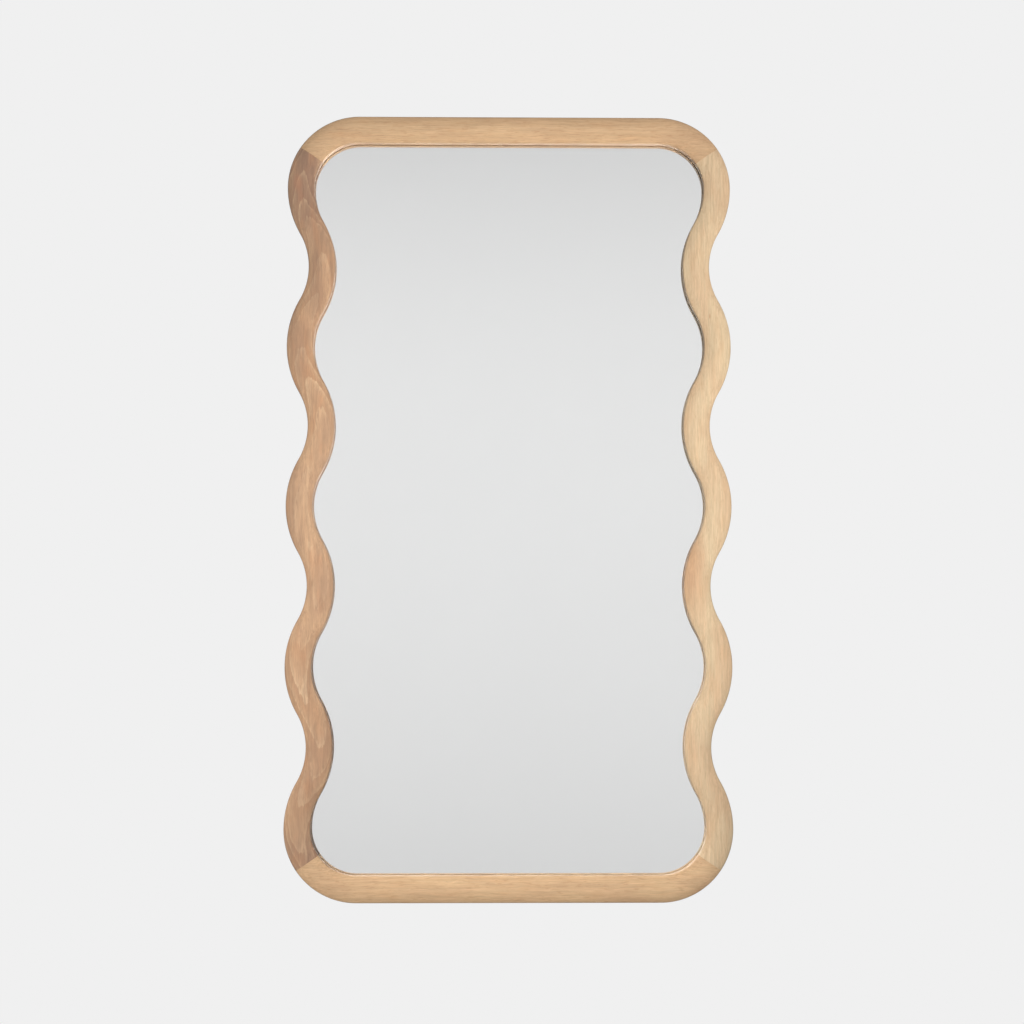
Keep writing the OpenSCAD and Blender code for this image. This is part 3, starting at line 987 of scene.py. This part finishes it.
def make_back():
    sheet = zinc("zinc_sheet", (0.66, 0.67, 0.67, 1), (0.78, 0.79, 0.79, 1))
    wire = zinc("zinc_wire", (0.62, 0.63, 0.64, 1), (0.74, 0.75, 0.76, 1))
    head = zinc("zinc_screw", (0.68, 0.69, 0.69, 1), (0.80, 0.81, 0.81, 1))
    soft = rubber("grey_rubber", linear(70, 70, 72), linear(88, 88, 90), 2.0, 0.75)
    black = rubber("black_rubber", linear(28, 28, 28), linear(42, 42, 42), 2.0, 0.8)
    foam = rubber("black_foam", linear(34, 34, 35), linear(50, 50, 51), 5.0, 0.95)
    make_screws(head)
    for side, s in (("left", -1), ("right", 1)):
        make_strap(side, s, sheet)
        make_ring(side, s, wire)
        dress_node(side + "_setting_block", black)
    wood = beech()
    for level, sy in (("top", 1), ("bottom", -1)):
        for side, sx in (("left", -1), ("right", 1)):
            make_bumper(level, side, sx, sy, soft)
            dress_node(f"{level}_{side}_dowels", wood)
    dress_node("backing_board", hardboard())
    dress_node("cushion_strip", foam)


# ---- stage, light and camera: metres, degrees and watts ----

PALE = 0.871
# The soft panel in front, whose middle and ends the mirror shows. Heights and edges are
# those of a direction of length 1.
PANEL_LEVEL = 0.867
PANEL_MIDDLE = 0.09
PANEL_UPPER = 1.585
PANEL_FALL = 2.7
PANEL_REACH = 0.3
PANEL_EDGE = (0.75, 0.93)
# How much of the pale room's light the pieces get, from the sides and from straight ahead
ROOM_FILL = (0.05, 1.0)
ROOM_EDGE = (0.5, 0.95)

FLOOR_Z = -1.65
FLOOR_R = 4.0
FLOOR_FADE = (0.5, 0.98)
FLOOR_SEGMENTS = 96
FLOOR_LIGHT = 2.5
FLOOR_LIGHT_ANGLE = 60

# Each beam's name, place, aim, spread and power
BEAMS = (
    ("upper_beam", (1.25, -3.0, -0.95), (0, 0, 0.37), 26, 472),
    ("lower_beam", (-1.25, -3.0, 1.4), (0, 0, -0.57), 24, 498),
)
BEAM_COLOUR = (1.0, 0.99, 0.97)
BEAM_RADIUS = 0.3
# The share of a beam that comes back from the mirror
IMAGE_SHARE = 0.4
# What the returned light passes, by the starts of the names
BEHIND_MIRROR = ("mirror_", "backing_board", "left_setting", "right_setting")

CAMERA_DISTANCE = 2.5
CAMERA_BELOW = math.radians(3.0)
CAMERA_LEFT = math.radians(0.7)
CAMERA_ROLL = 0.0007
CAMERA_LENS = 63.62
CAMERA_SENSOR = 36
CAMERA_AIM = Vector((0.0045, 0, -0.0070))


def make_world():
    """A pale room, with a soft panel in front that the mirror shows as a gentle gradient."""
    world = bpy.data.worlds.new("studio")
    world.use_nodes = True
    bpy.context.scene.world = world
    n = Nodes(world.node_tree)
    _, y, z = n.split(n.add("ShaderNodeTexCoord").outputs["Generated"])
    rise = n.minus(z, PANEL_MIDDLE)
    away = n.math("MAXIMUM", n.times(rise, PANEL_UPPER), n.times(rise, -1))
    away = n.math("MINIMUM", away, PANEL_REACH)
    panel = n.times(n.minus(1, n.times(n.times(away, away), PANEL_FALL)), PANEL_LEVEL)
    front = n.remap(n.times(y, -1), *PANEL_EDGE, 0, 1, True)
    level = n.plus(n.times(front, n.minus(panel, PALE)), PALE)
    fills = n.add("ShaderNodeLightPath").outputs["Is Diffuse Ray"]
    facing = n.remap(n.math("ABSOLUTE", y), *ROOM_EDGE, *ROOM_FILL, True)
    level = n.times(level, n.minus(1, n.times(fills, n.minus(1, facing))))
    background = n.add("ShaderNodeBackground", {"Color": n.join(level, level, level)})
    output = n.add("ShaderNodeOutputWorld")
    n.tree.links.new(background.outputs[0], output.inputs[0])


def add_lamp(name, light):
    """A lamp that only lights: neither the camera nor a gloss shows it."""
    lamp = placed(name, light)
    lamp.visible_camera = False
    lamp.visible_glossy = False
    return lamp


def light_floor(floor):
    """A soft light from above that only the floor gets."""
    light = bpy.data.lights.new("floor_light", "SUN")
    light.energy = FLOOR_LIGHT
    light.angle = math.radians(FLOOR_LIGHT_ANGLE)
    lit = bpy.data.collections.new("floor_only")
    lit.objects.link(floor)
    add_lamp("floor_light", light).light_linking.receiver_collection = lit


def pale_floor():
    """A pale material that fades out toward the floor's rim."""
    material, n = new_material("floor_pale")
    place = n.add("ShaderNodeTexCoord").outputs["Object"]
    distance = n.add("ShaderNodeVectorMath", {0: place}, operation="LENGTH").outputs["Value"]
    near, far = (FLOOR_R * share for share in FLOOR_FADE)
    alpha = n.remap(distance, near, far, 1, 0, True)
    colour = n.mix(n.noise(place, 3, 4), grey(0.78), grey(0.82))
    n.surface(Base_Color=colour, Roughness=0.8, Alpha=alpha)
    return material


def make_floor():
    bm = bmesh.new()
    bmesh.ops.create_circle(bm, cap_ends=True, radius=FLOOR_R, segments=FLOOR_SEGMENTS)
    floor = placed("floor", drawn_mesh("floor", bm))
    floor.location.z = FLOOR_Z
    floor.data.materials.append(pale_floor())
    floor.visible_diffuse = False
    light_floor(floor)


def make_lip_shade():
    """A card behind the silver, up to the lip's edge. Only lamps meet it, and it shades as
    the lip's image in the mirror does."""
    high = SILVER_Z - 2 * SILVER_T
    low = high - 4 * SILVER_T
    profile = [(-HALF, low), (GLASS_EDGE, low), (GLASS_EDGE, high), (-HALF, high)]
    stations = frame_path()
    bm = bmesh.new()
    add_sweep(bm, stations, [profile] * len(stations), cyclic=True)
    foam = bpy.data.materials["black_foam"]
    shade = placed("lip_shade", stood_mesh("lip_shade", bm, foam))
    shade.visible_camera = False
    shade.visible_diffuse = False
    shade.visible_glossy = False
    shade.visible_transmission = False


def add_beam(name, place, aim, spread, power):
    """A large soft lamp with a narrow beam that fades toward its edge."""
    light = bpy.data.lights.new(name, "SPOT")
    light.spot_size = math.radians(spread)
    light.spot_blend = 1
    light.shadow_soft_size = BEAM_RADIUS
    light.energy = power
    light.color = BEAM_COLOUR
    lamp = add_lamp(name, light)
    lamp.location = place
    toward = Vector(aim) - Vector(place)
    lamp.rotation_euler = toward.to_track_quat("-Z", "Y").to_euler()
    return lamp


def beam_blockers():
    """Everything but the mirror and what lies behind it."""
    blockers = bpy.data.collections.new("beam_blockers")
    for obj in bpy.context.scene.objects:
        if obj.type == "MESH" and not obj.name.startswith(BEHIND_MIRROR):
            blockers.objects.link(obj)
    return blockers


def add_beam_and_image(name, place, aim, spread, power):
    """A beam, and its image in the mirror, which lights the wood's inner walls.

    The mirror's plane leaves out the bumpers' height, which is nothing at this distance.
    """
    mirror_y = -SILVER_Z * MM
    add_beam(name, place, aim, spread, power)
    image = [(x, 2 * mirror_y - y, z) for x, y, z in (place, aim)]
    lamp = add_beam(name + "_image", *image, spread, power * IMAGE_SHARE)
    lamp.light_linking.blocker_collection = beam_blockers()


def make_camera():
    """The camera, a little below and to the left of the mirror, as in the photo."""
    camera = placed("camera", bpy.data.cameras.new("camera"))
    camera.data.lens = CAMERA_LENS
    camera.data.sensor_width = CAMERA_SENSOR
    flat = math.cos(CAMERA_BELOW)
    camera.location = CAMERA_DISTANCE * Vector((
        -math.sin(CAMERA_LEFT) * flat,
        -math.cos(CAMERA_LEFT) * flat,
        -math.sin(CAMERA_BELOW),
    ))
    toward = CAMERA_AIM - camera.location
    camera.rotation_euler = toward.to_track_quat("-Z", "Y").to_euler()
    camera.rotation_euler.rotate_axis("Z", CAMERA_ROLL)
    bpy.context.scene.camera = camera


def make_stage():
    make_world()
    make_floor()
    make_lip_shade()
    for beam in BEAMS:
        add_beam_and_image(*beam)
    bpy.context.scene.view_settings.view_transform = "Standard"
    bpy.context.scene.view_settings.look = "None"
    make_camera()


make_frame()
make_mirror()
make_back()
make_stage()
